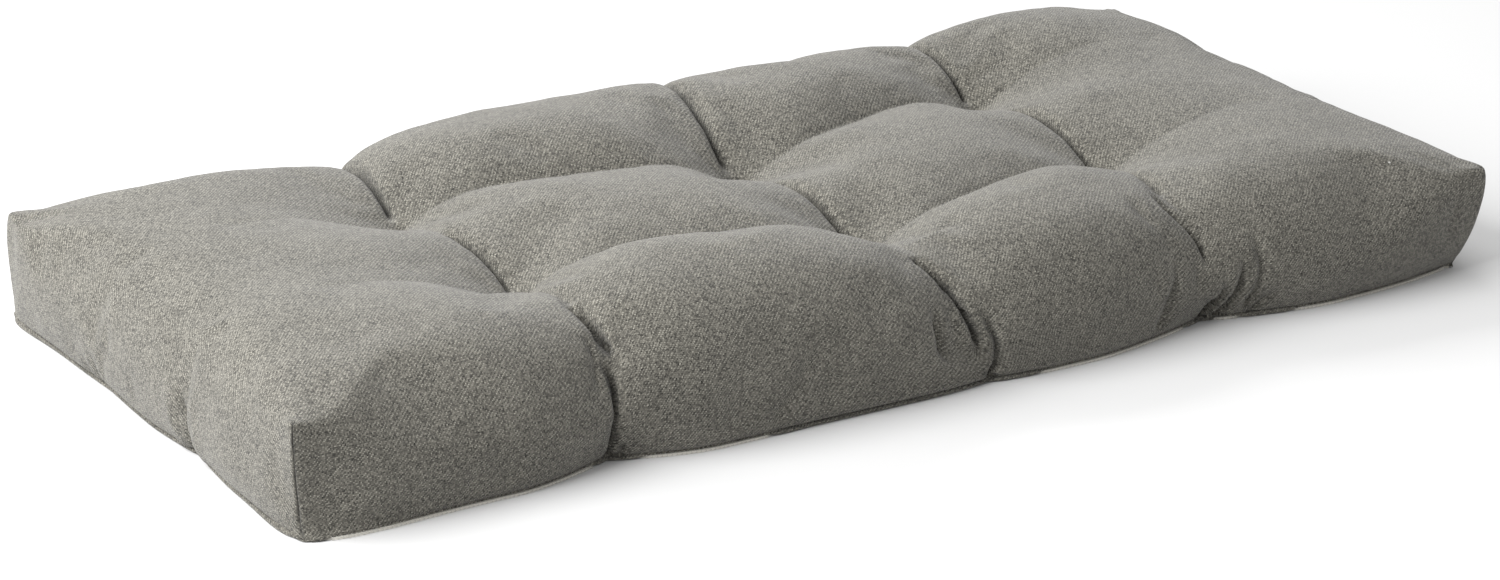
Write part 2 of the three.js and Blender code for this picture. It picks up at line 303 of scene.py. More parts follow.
def rimMapping(side, rimX, rimY, down):
    # cloth lengths run on from the top over the edge, so that the weave follows the wall
    if side in ("left", "right"):
        return np.stack([rimX + np.sign(rimX) * down, rimY], -1)
    return np.stack([rimX, rimY + np.sign(rimY) * down], -1)


# the seam that joins cover and backing, as steps out from the foot line and up, in mm:
# the cover's edge rolled over the backing, tucked in under the wall, or open so that the pale backing shows
footSeam = {
    "rolled": ((-0.6, 3.5), (0.5, 3.2), (1.7, 2.4), (2.1, 1.2), (1.7, 0.25), (-3, 1.9)),
    "tucked": ((-3.4, 3.9), (-2.6, 3.4), (-0.2, 2.7), (0.8, 1.2), (0.4, 0.25), (-3, 1.9)),
    "open": ((-0.4, 3.1), (-0.2, 2.7), (0.0, 2.3), (0.2, 2.1), (0.1, 1.9), (-3, 1.9)),
    "tuckedStretches": ((-104, 62),),  # along the front
    "openStretches": ((-440, -238), (-214, -116), (84, 224), (243, 268), (300, 450)),
    # how far out the backing goes there
    "backingReach": {"rolled": -2.6, "tucked": -2.6, "open": 0.8},
    "blend": 9,
    "backingCorner": 2.2,  # and how much further in at the corners
    "cornerThinning": 0.9,
    "cornerSpread": 7,
    "headingOver": 3,  # points to each side that give the way the seam runs
}


def stretchShare(x, stretches):
    # 1 inside the stretches, falling to 0 at their ends
    inside = [
        np.clip(np.minimum(x - start, end - x) / footSeam["blend"], 0, 1)
        for start, end in stretches
    ]
    return np.max(inside, axis=0)


def footRings(foot, sideOf, cornersAt):
    # the rings of the seam from the foot line inwards, and the edge of the backing
    over = footSeam["headingOver"]
    ahead = np.roll(foot, -over, axis=0) - np.roll(foot, over, axis=0)
    outward = np.stack([ahead[:, 1], -ahead[:, 0], 0 * ahead[:, 0]], -1)
    outward /= np.linalg.norm(outward, axis=1, keepdims=True)
    corner = np.min([np.linalg.norm(foot - foot[at], axis=1) for at in cornersAt], axis=0)
    atCorner = np.exp(-((corner / footSeam["cornerSpread"]) ** 2))[:, None]
    outward *= 1 - footSeam["cornerThinning"] * atCorner
    onFront = sideOf == "front"
    share = {
        kind: onFront * stretchShare(foot[:, 0], footSeam[kind + "Stretches"])
        for kind in ("tucked", "open")
    }
    share["rolled"] = 1 - share["tucked"] - share["open"]
    made = []
    for step in range(len(footSeam["rolled"])):
        out, upward = sum(share[kind][:, None] * footSeam[kind][step] for kind in share).T
        places = foot + outward * out[:, None]
        places[:, 2] = upward
        made.append(places)
    reach = sum(share[kind] * footSeam["backingReach"][kind] for kind in share)
    backing = foot + outward * reach[:, None]
    backing[:, :2] -= np.sign(foot[:, :2]) * footSeam["backingCorner"] * atCorner
    return made, backing


def buildBody():
    # points, faces, cloth coordinates of each face corner, and the lines down the corners,
    # round the foot and round the backing
    s = cushionShape
    step = s["steps"]
    across, up = step["along"] * 4, step["across"] * 3
    jj, ii = np.meshgrid(np.arange(up + 1), np.arange(across + 1), indexing="ij")
    x, y, pillow, t = gridPoints(ii, jj)
    points = [np.stack([x, y, topHeight(x, y)], -1).reshape(-1, 3)]
    number = np.arange((across + 1) * (up + 1)).reshape(up + 1, across + 1)
    corners = (number[:-1, :-1], number[:-1, 1:], number[1:, 1:], number[1:, :-1])
    faces = [np.stack(corners, -1).reshape(-1, 4)]
    cloth = [points[0][faces[0]][..., :2]]
    sides = {
        "front": (0, slice(0, across)),
        "right": (slice(0, up), across),
        "back": (up, slice(across, 0, -1)),
        "left": (slice(up, 0, -1), 0),
    }
    ringCount = step["shoulder"] + step["foot"]
    rings = [[] for k in range(ringCount)]
    rim, sideOf = [], []
    for side, place in sides.items():
        rim.append(number[place])
        sideOf += [side] * len(number[place])
        rx, ry, rp, rt = x[place], y[place], pillow[place], t[place]
        rz = topHeight(rx, ry)
        onEnd = side in ("left", "right")
        shoulder = s["endShoulder" if onEnd else "longShoulder"]
        away = s["width"] / 2 - abs(ry) if onEnd else s["length"] / 2 - abs(rx)
        rounding = fromCorner(away - shoulder["corner"], shoulder["spread"])
        tight, easy = s["shoulderPower"]["corner"], s["shoulderPower"]["middle"]
        power = tight + (easy - tight) * rounding
        wideX, wideY = wallOutline(side, rx, ry, rp, rt, 0)
        wideZ = s["wall"]["widestAt"] * rz
        # the shoulder sets off at the slope that the top has there
        reach = np.hypot(wideX - rx, wideY - ry)
        outward = (wideX - rx) / reach, (wideY - ry) / reach
        slope = np.minimum(0, topHeight(rx + outward[0], ry + outward[1]) - rz)
        for k in range(step["shoulder"]):
            angle = (k + 1) / step["shoulder"] * np.pi / 2
            out, upward = np.sin(angle) ** (2 / power), max(0, np.cos(angle)) ** (2 / power)
            rings[k].append(np.stack([
                rx + (wideX - rx) * out,
                ry + (wideY - ry) * out,
                wideZ + (rz - wideZ) * upward + slope * reach * out * (1 - out) ** 2,
            ], -1))
        for k in range(step["foot"]):
            down = np.sin((k + 1) / step["foot"] * np.pi / 2)
            outX, outY = wallOutline(side, rx, ry, rp, rt, down)
            height = wideZ + (s["floor"] - wideZ) * down
            rings[step["shoulder"] + k].append(np.stack([outX, outY, height], -1))
    rings = [tuckCorners(np.concatenate(parts)) for parts in rings]
    cornersAt = np.cumsum([0, across, up, across])
    ring = np.concatenate(rim)
    rimPoints = points[0][ring]
    cornerLines = [np.stack([loop[at] for loop in (rimPoints, *rings)]) for at in cornersAt]
    footLine = rings[-1]
    seamRings, backingEdge = footRings(footLine, np.array(sideOf), cornersAt)
    rings += seamRings
    last, run = rimPoints, np.zeros(len(ring))
    runs = [run]
    for parts in rings:
        fresh = np.arange(len(ring)) + sum(len(p) for p in points)
        points.append(parts)
        faces.append(np.stack([ring, fresh, np.roll(fresh, -1), np.roll(ring, -1)], -1))
        runs.append(runs[-1] + np.linalg.norm(points[-1] - last, axis=1))
        ring, last = fresh, points[-1]
        wall = np.zeros((len(ring), 4, 2))
        after = np.roll(np.arange(len(ring)), -1)
        for n, side in enumerate(sideOf):
            a = after[n]
            faceCorners = ((n, runs[-2]), (n, runs[-1]), (a, runs[-1]), (a, runs[-2]))
            for corner, (at, ringRun) in enumerate(faceCorners):
                wall[n, corner] = rimMapping(side, rimPoints[at, 0], rimPoints[at, 1], ringRun[at])
        cloth.append(wall)
    lines = [skewEnds(line) for line in cornerLines + [footLine, backingEdge]]
    return skewEnds(np.concatenate(points)), np.concatenate(faces), np.concatenate(cloth), lines


def makeMesh(name, points, faces):
    data = bpy.data.meshes.new(name)
    data.from_pydata([tuple(p) for p in points], [], [tuple(int(n) for n in f) for f in faces])
    data.update()
    piece = bpy.data.objects.new(name, data)
    scene.collection.objects.link(piece)
    return piece


def only(piece):
    bpy.ops.object.select_all(action="DESELECT")
    piece.select_set(True)
    bpy.context.view_layer.objects.active = piece


def placesOf(data):
    flat = np.empty(len(data.vertices) * 3)
    data.vertices.foreach_get("co", flat)
    return flat.reshape(-1, 3) / mm


def setPlaces(data, places):
    data.vertices.foreach_set("co", (places * mm).ravel())
    data.update()


def normalsOf(data):
    flat = np.empty(len(data.vertices) * 3)
    data.vertices.foreach_get("normal", flat)
    return flat.reshape(-1, 3)


points, faces, clothPlaces, (*cornerLines, footLine, backingEdge) = buildBody()
boxShift = -(points.min(0) + points.max(0)) / 2
boxShift[2] = 0
cushion = makeMesh("tufted_cushion", (points + boxShift) * mm, faces)
weaveMap = cushion.data.uv_layers.new(name="cloth")
weaveMap.data.foreach_set("uv", (clothPlaces * mm).ravel())
print("body laid out:", len(points), "points")


# filling: the cover swells between its sewn points in a cloth simulation
swelling = {
    "pressure": 2.0,
    "slack": -0.006,  # cloth cut a little longer than the shape needs
    "frames": 20,
    "furthest": 4.0,  # mm that a point may move
    "evenRounds": 60,  # parts the broad swelling from the small unevenness
    "broadShare": 0.3,  # of the broad swelling kept, as the shape already has its crown
    "tuftHold": 14,  # mm around each tuft
    "lineHold": 9,  # mm each side of a sewn line
    "lineShare": 0.6,
    "valleyHold": 20,  # mm each side of the valleys that run along
    "valleyShare": 0.5,
    "linesAbove": 45,  # mm, the lines and valleys hold only above this
    "cornerHold": 12,  # mm around each corner seam
    "cornerShare": 0.9,
    "footHold": 9,  # mm over which the swelling sets in above the foot
    "leastHold": 0.02,
    "rules": {
        "quality": 5,
        "mass": 0.3,
        "tension_stiffness": 25,
        "compression_stiffness": 25,
        "shear_stiffness": 12,
        "bending_stiffness": 5,
    },
}


def holdStrength(places):
    # 1 where the cover is sewn down, less along the lines pulled in between the tufts
    s = cushionShape
    x, y, z = (places - boxShift).T
    hold = np.zeros(len(places))
    onTop = z > swelling["linesAbove"]
    for c in range(3):
        line = np.exp(-((x - columnX(c, y)) / swelling["lineHold"]) ** 2)
        hold = np.maximum(hold, swelling["lineShare"] * line * onTop)
        for r in range(2):
            away = np.hypot(x - s["columns"][c][2 + r], y - s["rows"][r][c + 1])
            hold = np.maximum(hold, np.exp(-(away / swelling["tuftHold"]) ** 2))
    between = abs(x) < s["columns"][2][2]
    for r in range(2):
        valley = np.exp(-((y - rowY(r, x)) / swelling["valleyHold"]) ** 2)
        hold = np.maximum(hold, swelling["valleyShare"] * valley * onTop * between)
    foot = 1 - ramp((z - s["floor"]) / swelling["footHold"])
    away = np.hypot(s["length"] / 2 - abs(x), s["width"] / 2 - abs(y))
    corner = np.exp(-(away / swelling["cornerHold"]) ** 2) * swelling["cornerShare"]
    return np.maximum(np.maximum(hold, foot), corner)


def evened(data, values, rounds):
    # each point's value averaged again and again with its neighbours'
    ends = np.empty(len(data.edges) * 2, int)
    data.edges.foreach_get("vertices", ends)
    ends = ends.reshape(-1, 2)
    count = np.bincount(ends.ravel(), minlength=len(values))[:, None]
    for turn in range(rounds):
        total = np.zeros_like(values)
        for a, b in ((0, 1), (1, 0)):
            for axis in range(values.shape[1]):
                total[:, axis] += np.bincount(ends[:, a], values[ends[:, b], axis], minlength=len(values))
        values = (values + total / count) / 2
    return values


def swell(piece, plan):
    before = placesOf(piece.data)
    sewn = piece.vertex_groups.new(name="sewn")
    for number, strength in enumerate(holdStrength(before)):
        if strength > plan["leastHold"]:
            sewn.add([number], float(strength), "REPLACE")
    cloth = piece.modifiers.new("cloth", "CLOTH")
    rules = cloth.settings
    for name, value in plan["rules"].items():
        setattr(rules, name, value)
    rules.use_pressure = True
    rules.uniform_pressure_force = plan["pressure"]
    rules.shrink_min = rules.shrink_max = plan["slack"]
    rules.vertex_group_mass = sewn.name
    rules.effector_weights.gravity = 0
    cloth.collision_settings.use_collision = False
    cloth.point_cache.frame_end = plan["frames"]
    for number in range(1, plan["frames"] + 1):
        scene.frame_set(number)
    only(piece)
    bpy.ops.object.modifier_apply(modifier=cloth.name)
    scene.frame_set(1)
    moved = placesOf(piece.data) - before
    broad = evened(piece.data, moved, plan["evenRounds"])
    moved = moved - broad + plan["broadShare"] * broad
    moved *= ramp((before[:, 2:] - cushionShape["floor"]) / plan["footHold"])
    length = np.linalg.norm(moved, axis=1, keepdims=True) + 1e-9
    print("swelling: median", np.median(length).round(2), "most", length.max().round(2), "mm")
    setPlaces(piece.data, before + moved / length * plan["furthest"] * np.tanh(length / plan["furthest"]))
    piece.vertex_groups.clear()


swell(cushion, swelling)


# the filling is a little lumpy under the cloth, everywhere but in the seam round the foot
lumpiness = {
    "above": 6,  # mm over the floor, where the lumps set in
    "over": 16,
    "layers": ({"size": 75, "strength": 3.4}, {"size": 26, "strength": 1.1}),  # mm
}
only(cushion)
lumpy = cushion.vertex_groups.new(name="lumpy")
for number, height in enumerate(placesOf(cushion.data)[:, 2]):
    share = ramp((height - lumpiness["above"]) / lumpiness["over"])
    lumpy.add([number], float(share), "REPLACE")
finer = cushion.modifiers.new("finer", "SUBSURF")
finer.levels = finer.render_levels = 1
bpy.ops.object.modifier_apply(modifier=finer.name)
print("subdivided:", len(cushion.data.polygons), "faces")
for number, lump in enumerate(lumpiness["layers"]):
    clouds = bpy.data.textures.new("filling_" + str(number), "CLOUDS")
    clouds.noise_scale = lump["size"] * mm
    uneven = cushion.modifiers.new(clouds.name, "DISPLACE")
    uneven.texture, uneven.texture_coords = clouds, "LOCAL"
    uneven.strength, uneven.mid_level = lump["strength"] * mm, 0.5
    uneven.vertex_group = "lumpy"
    bpy.ops.object.modifier_apply(modifier="filling_" + str(number))
cushion.vertex_groups.clear()
print("filling unevenness added")


# creases between the pillows and folds in the walls
# along a sewn line across the top: its column, from and to across the width
topCreases = (
    {"column": 0, "start": 206, "end": 78, "depth": 8, "width": 4.6, "lean": 2.0},
    {"column": 0, "start": 20, "end": -70, "depth": 7, "width": 4.6, "lean": 2.0},
    {"column": 0, "start": -78, "end": -150, "depth": 3, "width": 6, "lean": 0.5},
    {"column": 1, "start": 206, "end": 50, "depth": 8, "width": 5.5, "lean": 1.5},
    {"column": 1, "start": 10, "end": -104, "depth": 10, "width": 5, "lean": 2.0},
    {"column": 2, "start": 206, "end": 92, "depth": 8, "width": 4.2, "lean": 2.0},
    {"column": 2, "start": 50, "end": -64, "depth": 8, "width": 4.6, "lean": 2.0},
    {"column": 2, "start": -80, "end": -160, "depth": 4, "width": 5, "lean": 1.0},
)
# down the walls: points on the wall from the top, in mm
wallFolds = (
    # front wall, left sewn line: an upper crease, the main one under it and a soft hollow to their left
    {"way": ((-233, -140, 89), (-229, -158, 88), (-227, -176, 83), (-225, -192, 72), (-220, -205, 60)),
     "depth": 9.5, "width": 4.0, "lean": 1.5, "fade": (0.45, 0.35)},
    {"way": ((-227, -190, 70), (-228, -198, 61), (-228, -204, 46), (-230, -203, 28), (-230, -197, 13),
             (-231, -192, 2)),
     "depth": 9, "width": 3.8, "lean": 2.5, "fade": (0.22, 0)},
    {"way": ((-238, -174, 82), (-238, -186, 71), (-239, -196, 55), (-238, -202, 38)),
     "depth": 3.5, "width": 5, "lean": 0, "fade": (0.4, 0.4)},
    {"way": ((-221, -205, 16), (-223, -201, 4)), "depth": 3, "width": 2.6, "lean": 0, "fade": (0.5, 0)},
    # front wall, middle sewn line: the long crease, the roll at its foot and soft folds beside it
    {"way": ((13, -176, 86), (20, -188, 76), (26, -196, 65), (31, -201, 53), (37, -207, 39),
             (42, -208, 24), (45, -207, 13)),
     "depth": 10.5, "width": 3.8, "lean": 2.2, "fade": (0.1, 0.3)},
    {"way": ((43, -205, 54), (49, -212, 41), (53, -214, 28), (54, -211, 15), (48, -207, 3)),
     "depth": 7, "width": 4.2, "lean": 2, "fade": (0.45, 0)},
    {"way": ((6, -208, 64), (7, -212, 50), (9, -215, 34), (14, -216, 20)),
     "depth": 6.5, "width": 4.4, "lean": 0.8, "fade": (0.45, 0.45)},
    {"way": ((40, -203, 58), (46, -210, 47), (51, -215, 36)),
     "depth": 2, "width": 4.5, "lean": 0, "fade": (0.5, 0.5)},
    {"way": ((36, -205, 46), (41, -208, 34), (44, -208, 24)),
     "depth": 2, "width": 3.4, "lean": 0, "fade": (0.5, 0.5)},
    # front wall, right sewn line: the long crease, and a fan of folds to its foot
    {"way": ((217, -159, 87), (217, -177, 82), (222, -187, 72), (227, -192, 62), (231, -197, 51),
             (234, -200, 42)),
     "depth": 8, "width": 4.2, "lean": 1.8, "fade": (0.3, 0.25)},
    {"way": ((195, -163, 92), (191, -179, 88), (193, -191, 80), (197, -201, 68)),
     "depth": 3, "width": 6.5, "lean": 0, "fade": (0.5, 0.5)},
    {"way": ((205, -207, 56), (202, -210, 40), (196, -213, 24), (190, -212, 6)),
     "depth": 4.5, "width": 4.6, "lean": 0.8, "fade": (0.45, 0.1)},
    {"way": ((247, -207, 36), (245, -206, 25), (240, -200, 12), (236, -195, 3)),
     "depth": 6, "width": 3.4, "lean": 1, "fade": (0.4, 0)},
    {"way": ((258, -204, 56), (259, -209, 42), (257, -208, 27), (252, -203, 12), (247, -199, 3)),
     "depth": 6.5, "width": 4.0, "lean": 0.8, "fade": (0.5, 0)},
    {"way": ((266, -200, 68), (270, -210, 52), (272, -214, 38), (269, -211, 18), (265, -207, 4)),
     "depth": 4.5, "width": 4.4, "lean": 0.5, "fade": (0.45, 0.1)},
    {"way": ((288, -217, 24), (278, -213, 12), (271, -208, 3)),
     "depth": 3.5, "width": 3.6, "lean": 0, "fade": (0.6, 0)},
    # front wall, middle of the second pillow
    {"way": ((-80, -218, 60), (-98, -220, 41), (-110, -220, 24), (-122, -215, 3)),
     "depth": 2.4, "width": 7, "lean": 0, "fade": (0.5, 0.2)},
    # left end
    {"way": ((-458, -59, 52), (-459, -58, 40), (-458, -61, 27), (-455, -65, 13), (-452, -66, 2)),
     "depth": 5, "width": 6.5, "lean": 0, "lip": 0.3, "fade": (0.45, 0)},
    {"way": ((-459, 76, 30), (-458, 74, 16), (-457, 69, 3)),
     "depth": 2.2, "width": 4.5, "lean": 0, "fade": (0.6, 0)},
    {"way": ((-459, 92, 22), (-458, 88, 12), (-457, 84, 3)),
     "depth": 1.6, "width": 3.8, "lean": 0, "fade": (0.6, 0)},
    # right end
    {"way": ((460, -60, 58), (461, -61, 40), (460, -63, 22), (457, -64, 3)),
     "depth": 4.5, "width": 6.0, "lean": 0, "lip": 0.3, "fade": (0.5, 0)},
    {"way": ((460, 80, 56), (461, 79, 38), (460, 77, 20), (457, 74, 3)),
     "depth": 4, "width": 6.5, "lean": 0, "lip": 0.2, "fade": (0.5, 0)},
    # back wall
    {"way": ((-222, 186, 80), (-223, 198, 64), (-224, 204, 44), (-226, 204, 22), (-227, 201, 3)),
     "depth": 8, "width": 4.4, "lean": 1.5, "fade": (0.2, 0)},
    {"way": ((-246, 206, 52), (-244, 209, 34), (-240, 208, 16), (-238, 205, 3)),
     "depth": 4, "width": 4.6, "lean": 0, "fade": (0.5, 0)},
    {"way": ((33, 190, 84), (35, 202, 66), (37, 208, 45), (40, 208, 22), (41, 206, 3)),
     "depth": 8, "width": 4.4, "lean": 1.5, "fade": (0.2, 0)},
    {"way": ((58, 210, 48), (57, 213, 32), (53, 212, 14), (50, 209, 3)),
     "depth": 4, "width": 4.6, "lean": 0, "fade": (0.5, 0)},
    {"way": ((240, 188, 82), (241, 200, 64), (242, 205, 44), (244, 204, 22), (245, 201, 3)),
     "depth": 8, "width": 4.4, "lean": 1.5, "fade": (0.2, 0)},
    {"way": ((268, 208, 48), (266, 211, 30), (261, 210, 14), (257, 207, 3)),
     "depth": 4, "width": 4.6, "lean": 0, "fade": (0.5, 0)},
)
cornerSeam = {"depth": 1.5, "width": 1.5, "pull": 0.2, "fade": (0, 0), "hold": 0.5}
# small peaks at the tops of the corner seams: rise of each, spread, and points of the seam that rise
cornerEars = {"rise": (2.2, 0.5, 0.5, 0.8), "spread": 8, "points": 5}


def alongColumn(line, steps=7):
    y = np.linspace(line["start"], line["end"], steps)
    x = columnX(line["column"], y)
    return np.stack([x, y, topHeight(x, y)], -1)


def nearestOn(way, places):
    # for each place the nearest point on the way, how far along it that is from 0 to 1, and its direction
    lengths = np.linalg.norm(np.diff(way, axis=0), axis=1)
    run = np.concatenate([[0], np.cumsum(lengths)]) / lengths.sum()
    best = np.full(len(places), np.inf)
    near, along, heading = np.zeros_like(places), np.zeros(len(places)), np.zeros_like(places)
    for a, b, start, end in zip(way[:-1], way[1:], run[:-1], run[1:]):
        t = np.clip(((places - a) @ (b - a)) / ((b - a) @ (b - a)), 0, 1)
        q = a + t[:, None] * (b - a)
        away = np.linalg.norm(places - q, axis=1)
        closer = away < best
        best[closer] = away[closer]
        near[closer], along[closer] = q[closer], (start + (end - start) * t)[closer]
        heading[closer] = (b - a) / np.linalg.norm(b - a)
    return near, along, heading


footHold = 5  # mm over which the creases fade out into the seam at the foot
creaseReach = 5  # widths round a crease within which points move
lipAt, rollAt = 2.4, 1.3  # widths from its middle to its lips and to the side that rolls over


def crease(piece, way, depth, width, lean=0, fade=(0.2, 0.2), pull=0.45, lip=0.0, hold=footHold):
    # presses a groove into the cloth, draws its sides together and lets one side roll over it
    places = placesOf(piece.data)
    way = np.asarray(way, float) + boxShift
    low, high = way.min(0) - creaseReach * width, way.max(0) + creaseReach * width
    some = np.flatnonzero(((places > low) & (places < high)).all(1))
    normals = normalsOf(piece.data)[some]
    near, along, heading = nearestOn(way, places[some])
    offset = places[some] - near
    offset -= (offset * normals).sum(1, keepdims=True) * normals
    beside = np.cross(heading, normals)
    beside /= np.linalg.norm(beside, axis=1, keepdims=True) + 1e-9
    signed = (offset * beside).sum(1)
    away = np.linalg.norm(offset, axis=1)
    strength = np.ones(len(some))
    if fade[0]:
        strength *= ramp(along / fade[0])
    if fade[1]:
        strength *= ramp((1 - along) / fade[1])
    strength *= np.exp(-(np.maximum(0, away - abs(signed)) / width) ** 2)
    strength *= ramp(places[some, 2] / hold)
    u = signed / width
    groove = -depth * np.exp(-(u ** 2)) + depth * lip * np.exp(-((abs(u) - lipAt) ** 2))
    closing = -pull * width * u * np.exp(-(u ** 2) / 2)
    rolling = -lean * np.exp(-((u - rollAt) ** 2))  # one side rolls over the groove
    change = (groove * strength)[:, None] * normals + ((closing + rolling) * strength)[:, None] * beside
    places[some] += change
    setPlaces(piece.data, places)
    return some, strength * np.exp(-(u ** 2))


# painted shade: each point's crease strength, which the cloth material turns into darker colour in the
# creases
pressed = np.zeros(len(cushion.data.vertices))
darkDepth = 8  # mm, a crease of this depth is as dark as they get
topFade = (0.22, 0.12)  # of a crease across the top, over which it sets in and runs out
lowest = 0.1  # mm above the floor


def press(**facts):
    # deep creases get the full painted crease shade, shallow folds hardly any
    some, amount = crease(cushion, **facts)
    pressed[some] = np.maximum(pressed[some], amount * min(1, facts["depth"] / darkDepth))


for line in topCreases:
    form = {key: line[key] for key in ("depth", "width", "lean")}
    press(way=alongColumn(line), fade=topFade, **form)
for fold in wallFolds:
    press(**fold)
# painted shade: each point's nearness to a corner seam, which the cloth material turns into darker colour
# there
seamed = np.zeros(len(cushion.data.vertices))
places = placesOf(cushion.data)
for way, rise in zip(cornerLines, cornerEars["rise"]):
    away = np.linalg.norm(places - way[0] - boxShift, axis=1)
    places[:, 2] += rise * np.exp(-((away / cornerEars["spread"]) ** 2))
setPlaces(cushion.data, places)
for way, rise in zip(cornerLines, cornerEars["rise"]):
    rising = np.clip(1 - np.arange(len(way)) / cornerEars["points"], 0, 1)
    way = way + (0, 0, rise) * rising[:, None]
    some, amount = crease(cushion, way, **cornerSeam)
    seamed[some] = np.maximum(seamed[some], amount)
places = placesOf(cushion.data)
print("lowest point before it is levelled:", places[:, 2].min().round(2), "mm")
places[:, 2] = np.maximum(places[:, 2], lowest)
setPlaces(cushion.data, places)
for name, amount in (("pressed", pressed), ("seam", seamed)):
    layer = cushion.data.attributes.new(name, "FLOAT", "POINT")
    layer.data.foreach_set("value", amount)
print("creases pressed:", len(topCreases) + len(wallFolds))


# underside closed, the imported cushion_body hidden, and the piece attached to the root body
def closeFoot(piece):
    only(piece)
    bpy.ops.object.mode_set(mode="EDIT")
    bpy.ops.mesh.select_mode(type="EDGE")
    bpy.ops.mesh.select_all(action="DESELECT")
    bpy.ops.mesh.select_non_manifold(
        extend=False, use_wire=False, use_multi_face=False,
        use_non_contiguous=False, use_verts=False,
    )
    bpy.ops.mesh.fill(use_beauty=False)
    bpy.ops.object.mode_set(mode="OBJECT")


closeFoot(cushion)
only(cushion)
bpy.ops.object.shade_smooth_by_angle(angle=math.radians(70))
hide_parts("cushion_body")
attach(cushion, "root")


# the backing, a flat sheet cut to the line of the foot
backingThickness = 1.6  # mm


def makeBacking(edge):
    count = len(edge)
    outline = edge * (1, 1, 0) + boxShift
    ring = list(range(count))
    faces = [[n + count for n in ring], ring[::-1]]
    faces += [[n, (n + 1) % count, (n + 1) % count + count, n + count] for n in ring]
    bothSides = np.concatenate([outline, outline + (0, 0, backingThickness)])
    sheet = makeMesh("backing_sheet", bothSides * mm, faces)
    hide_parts("backing_panel")
    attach(sheet, "root")
    return sheet


backingSheet = makeBacking(backingEdge)


# overlock stitches where the edge of the backing shows, in mm
overlock = {
    "pitch": 3.2,
    "loop": 1.15,
    "thread": 0.24,
    "loopShape": (1, 1.3, 0.8),
    "slant": 28,  # degrees
    "slantSpread": 5,
    "out": 0.7,
    "up": 1.25,
    "endsAt": 445,  # mm to each side of the middle
    "shownFrom": 0.6,  # share of open seam
    "seed": 7,
}


def stitchPlaces(line):
    # points every pitch along the open stretches of the front foot line, with the way the line runs there
    front = line[(line[:, 1] < 0) & (abs(line[:, 0]) < overlock["endsAt"])]
    front = front[np.argsort(front[:, 0])]
    run = np.concatenate([[0], np.cumsum(np.linalg.norm(np.diff(front, axis=0), axis=1))])
    at = np.arange(0, run[-1], overlock["pitch"])
    places = np.stack([np.interp(at, run, front[:, axis]) for axis in range(3)], -1)
    ahead = np.gradient(places, axis=0)
    turn = np.arctan2(ahead[:, 1], ahead[:, 0])
    shown = stretchShare(places[:, 0], footSeam["openStretches"]) > overlock["shownFrom"]
    return places[shown], turn[shown]


def makeOverlock():
    # one loop of thread round the edge, copied along it
    bpy.ops.object.select_all(action="DESELECT")
    bpy.ops.mesh.primitive_torus_add(
        major_radius=overlock["loop"] * mm, minor_radius=overlock["thread"] * mm,
        major_segments=10, minor_segments=5, rotation=(math.pi / 2, 0, math.pi / 2),
    )
    loop = bpy.context.object
    bpy.ops.object.transform_apply(location=False, rotation=True, scale=False)
    bpy.ops.object.mode_set(mode="EDIT")
    bpy.ops.mesh.select_all(action="SELECT")
    bpy.ops.transform.resize(value=overlock["loopShape"])
    bpy.ops.object.mode_set(mode="OBJECT")
    loops = []
    uneven = np.random.default_rng(overlock["seed"])
    for place, turn in zip(*stitchPlaces(footLine)):
        one = bpy.data.objects.new("stitch", loop.data.copy())
        scene.collection.objects.link(one)
        slant = math.radians(overlock["slant"] + uneven.normal(0, overlock["slantSpread"]))
        spot = Vector(place + boxShift) * mm
        spot.z = overlock["up"] * mm
        outward = Vector((math.sin(turn), -math.cos(turn), 0)) * overlock["out"] * mm
        one.data.transform(Matrix.Translation(spot + outward) @ Matrix.Rotation(turn + slant, 4, "Z"))
        loops.append(one)
    bpy.data.objects.remove(loop)
    bpy.ops.object.select_all(action="DESELECT")
    for one in loops:
        one.select_set(True)
    bpy.context.view_layer.objects.active = loops[0]
    bpy.ops.object.join()
    thread = bpy.context.object
    thread.name = "overlock_stitches"
    thread.data.shade_smooth()
    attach(thread, "root")
    print("overlock stitches:", len(loops))
    return thread


overlockThread = makeOverlock()


# cloth materials
def add(tree, kind, inputs=None, **settings):
    # one shader node, its sockets linked where the value is another socket
    made = tree.nodes.new("ShaderNode" + kind)
    for name, value in settings.items():
        setattr(made, name, value)
    for socket, value in (inputs or {}).items():
        if isinstance(value, bpy.types.NodeSocket):
            tree.links.new(value, made.inputs[socket])
        else:
            made.inputs[socket].default_value = value
    return made


def maths(tree, operation, a, b=0.0):
    return add(tree, "Math", {0: a, 1: b}, operation=operation).outputs[0]


def blend(tree, factor, a, b):
    made = add(tree, "Mix", data_type="RGBA")
    for name, value in (("Factor", factor), ("A", a), ("B", b)):
        socket = next(s for s in made.inputs if s.name == name and s.enabled)
        if isinstance(value, bpy.types.NodeSocket):
            tree.links.new(value, socket)
        else:
            socket.default_value = value
    return next(s for s in made.outputs if s.enabled)


def newGroup(name, inputs, outputs):
    tree = bpy.data.node_groups.new(name, "ShaderNodeTree")
    for label, kind in inputs:
        tree.interface.new_socket(label, in_out="INPUT", socket_type="NodeSocket" + kind)
    for label, kind in outputs:
        tree.interface.new_socket(label, in_out="OUTPUT", socket_type="NodeSocket" + kind)
    return tree, tree.nodes.new("NodeGroupInput").outputs, tree.nodes.new("NodeGroupOutput").inputs


# how the yarns vary: the wobble in metres, scales per metre, and for the tones per yarn
yarns = {
    "wobbleScale": 120.0,
    "wobble": 0.0016,
    "toneAcross": 3.71,
    "toneAlong": 0.45,
    "toneSpread": 2.0,
    "fleckSpread": 1.3,
    # painted shade in the gaps between the yarns and painted highlight on their crowns
    "gapShade": -0.42,
    "crownHighlight": 0.12,
    "patchScale": 22.0,
    "darkest": 0.1,
    "roughDark": 0.98,
    "roughLight": 0.86,
}


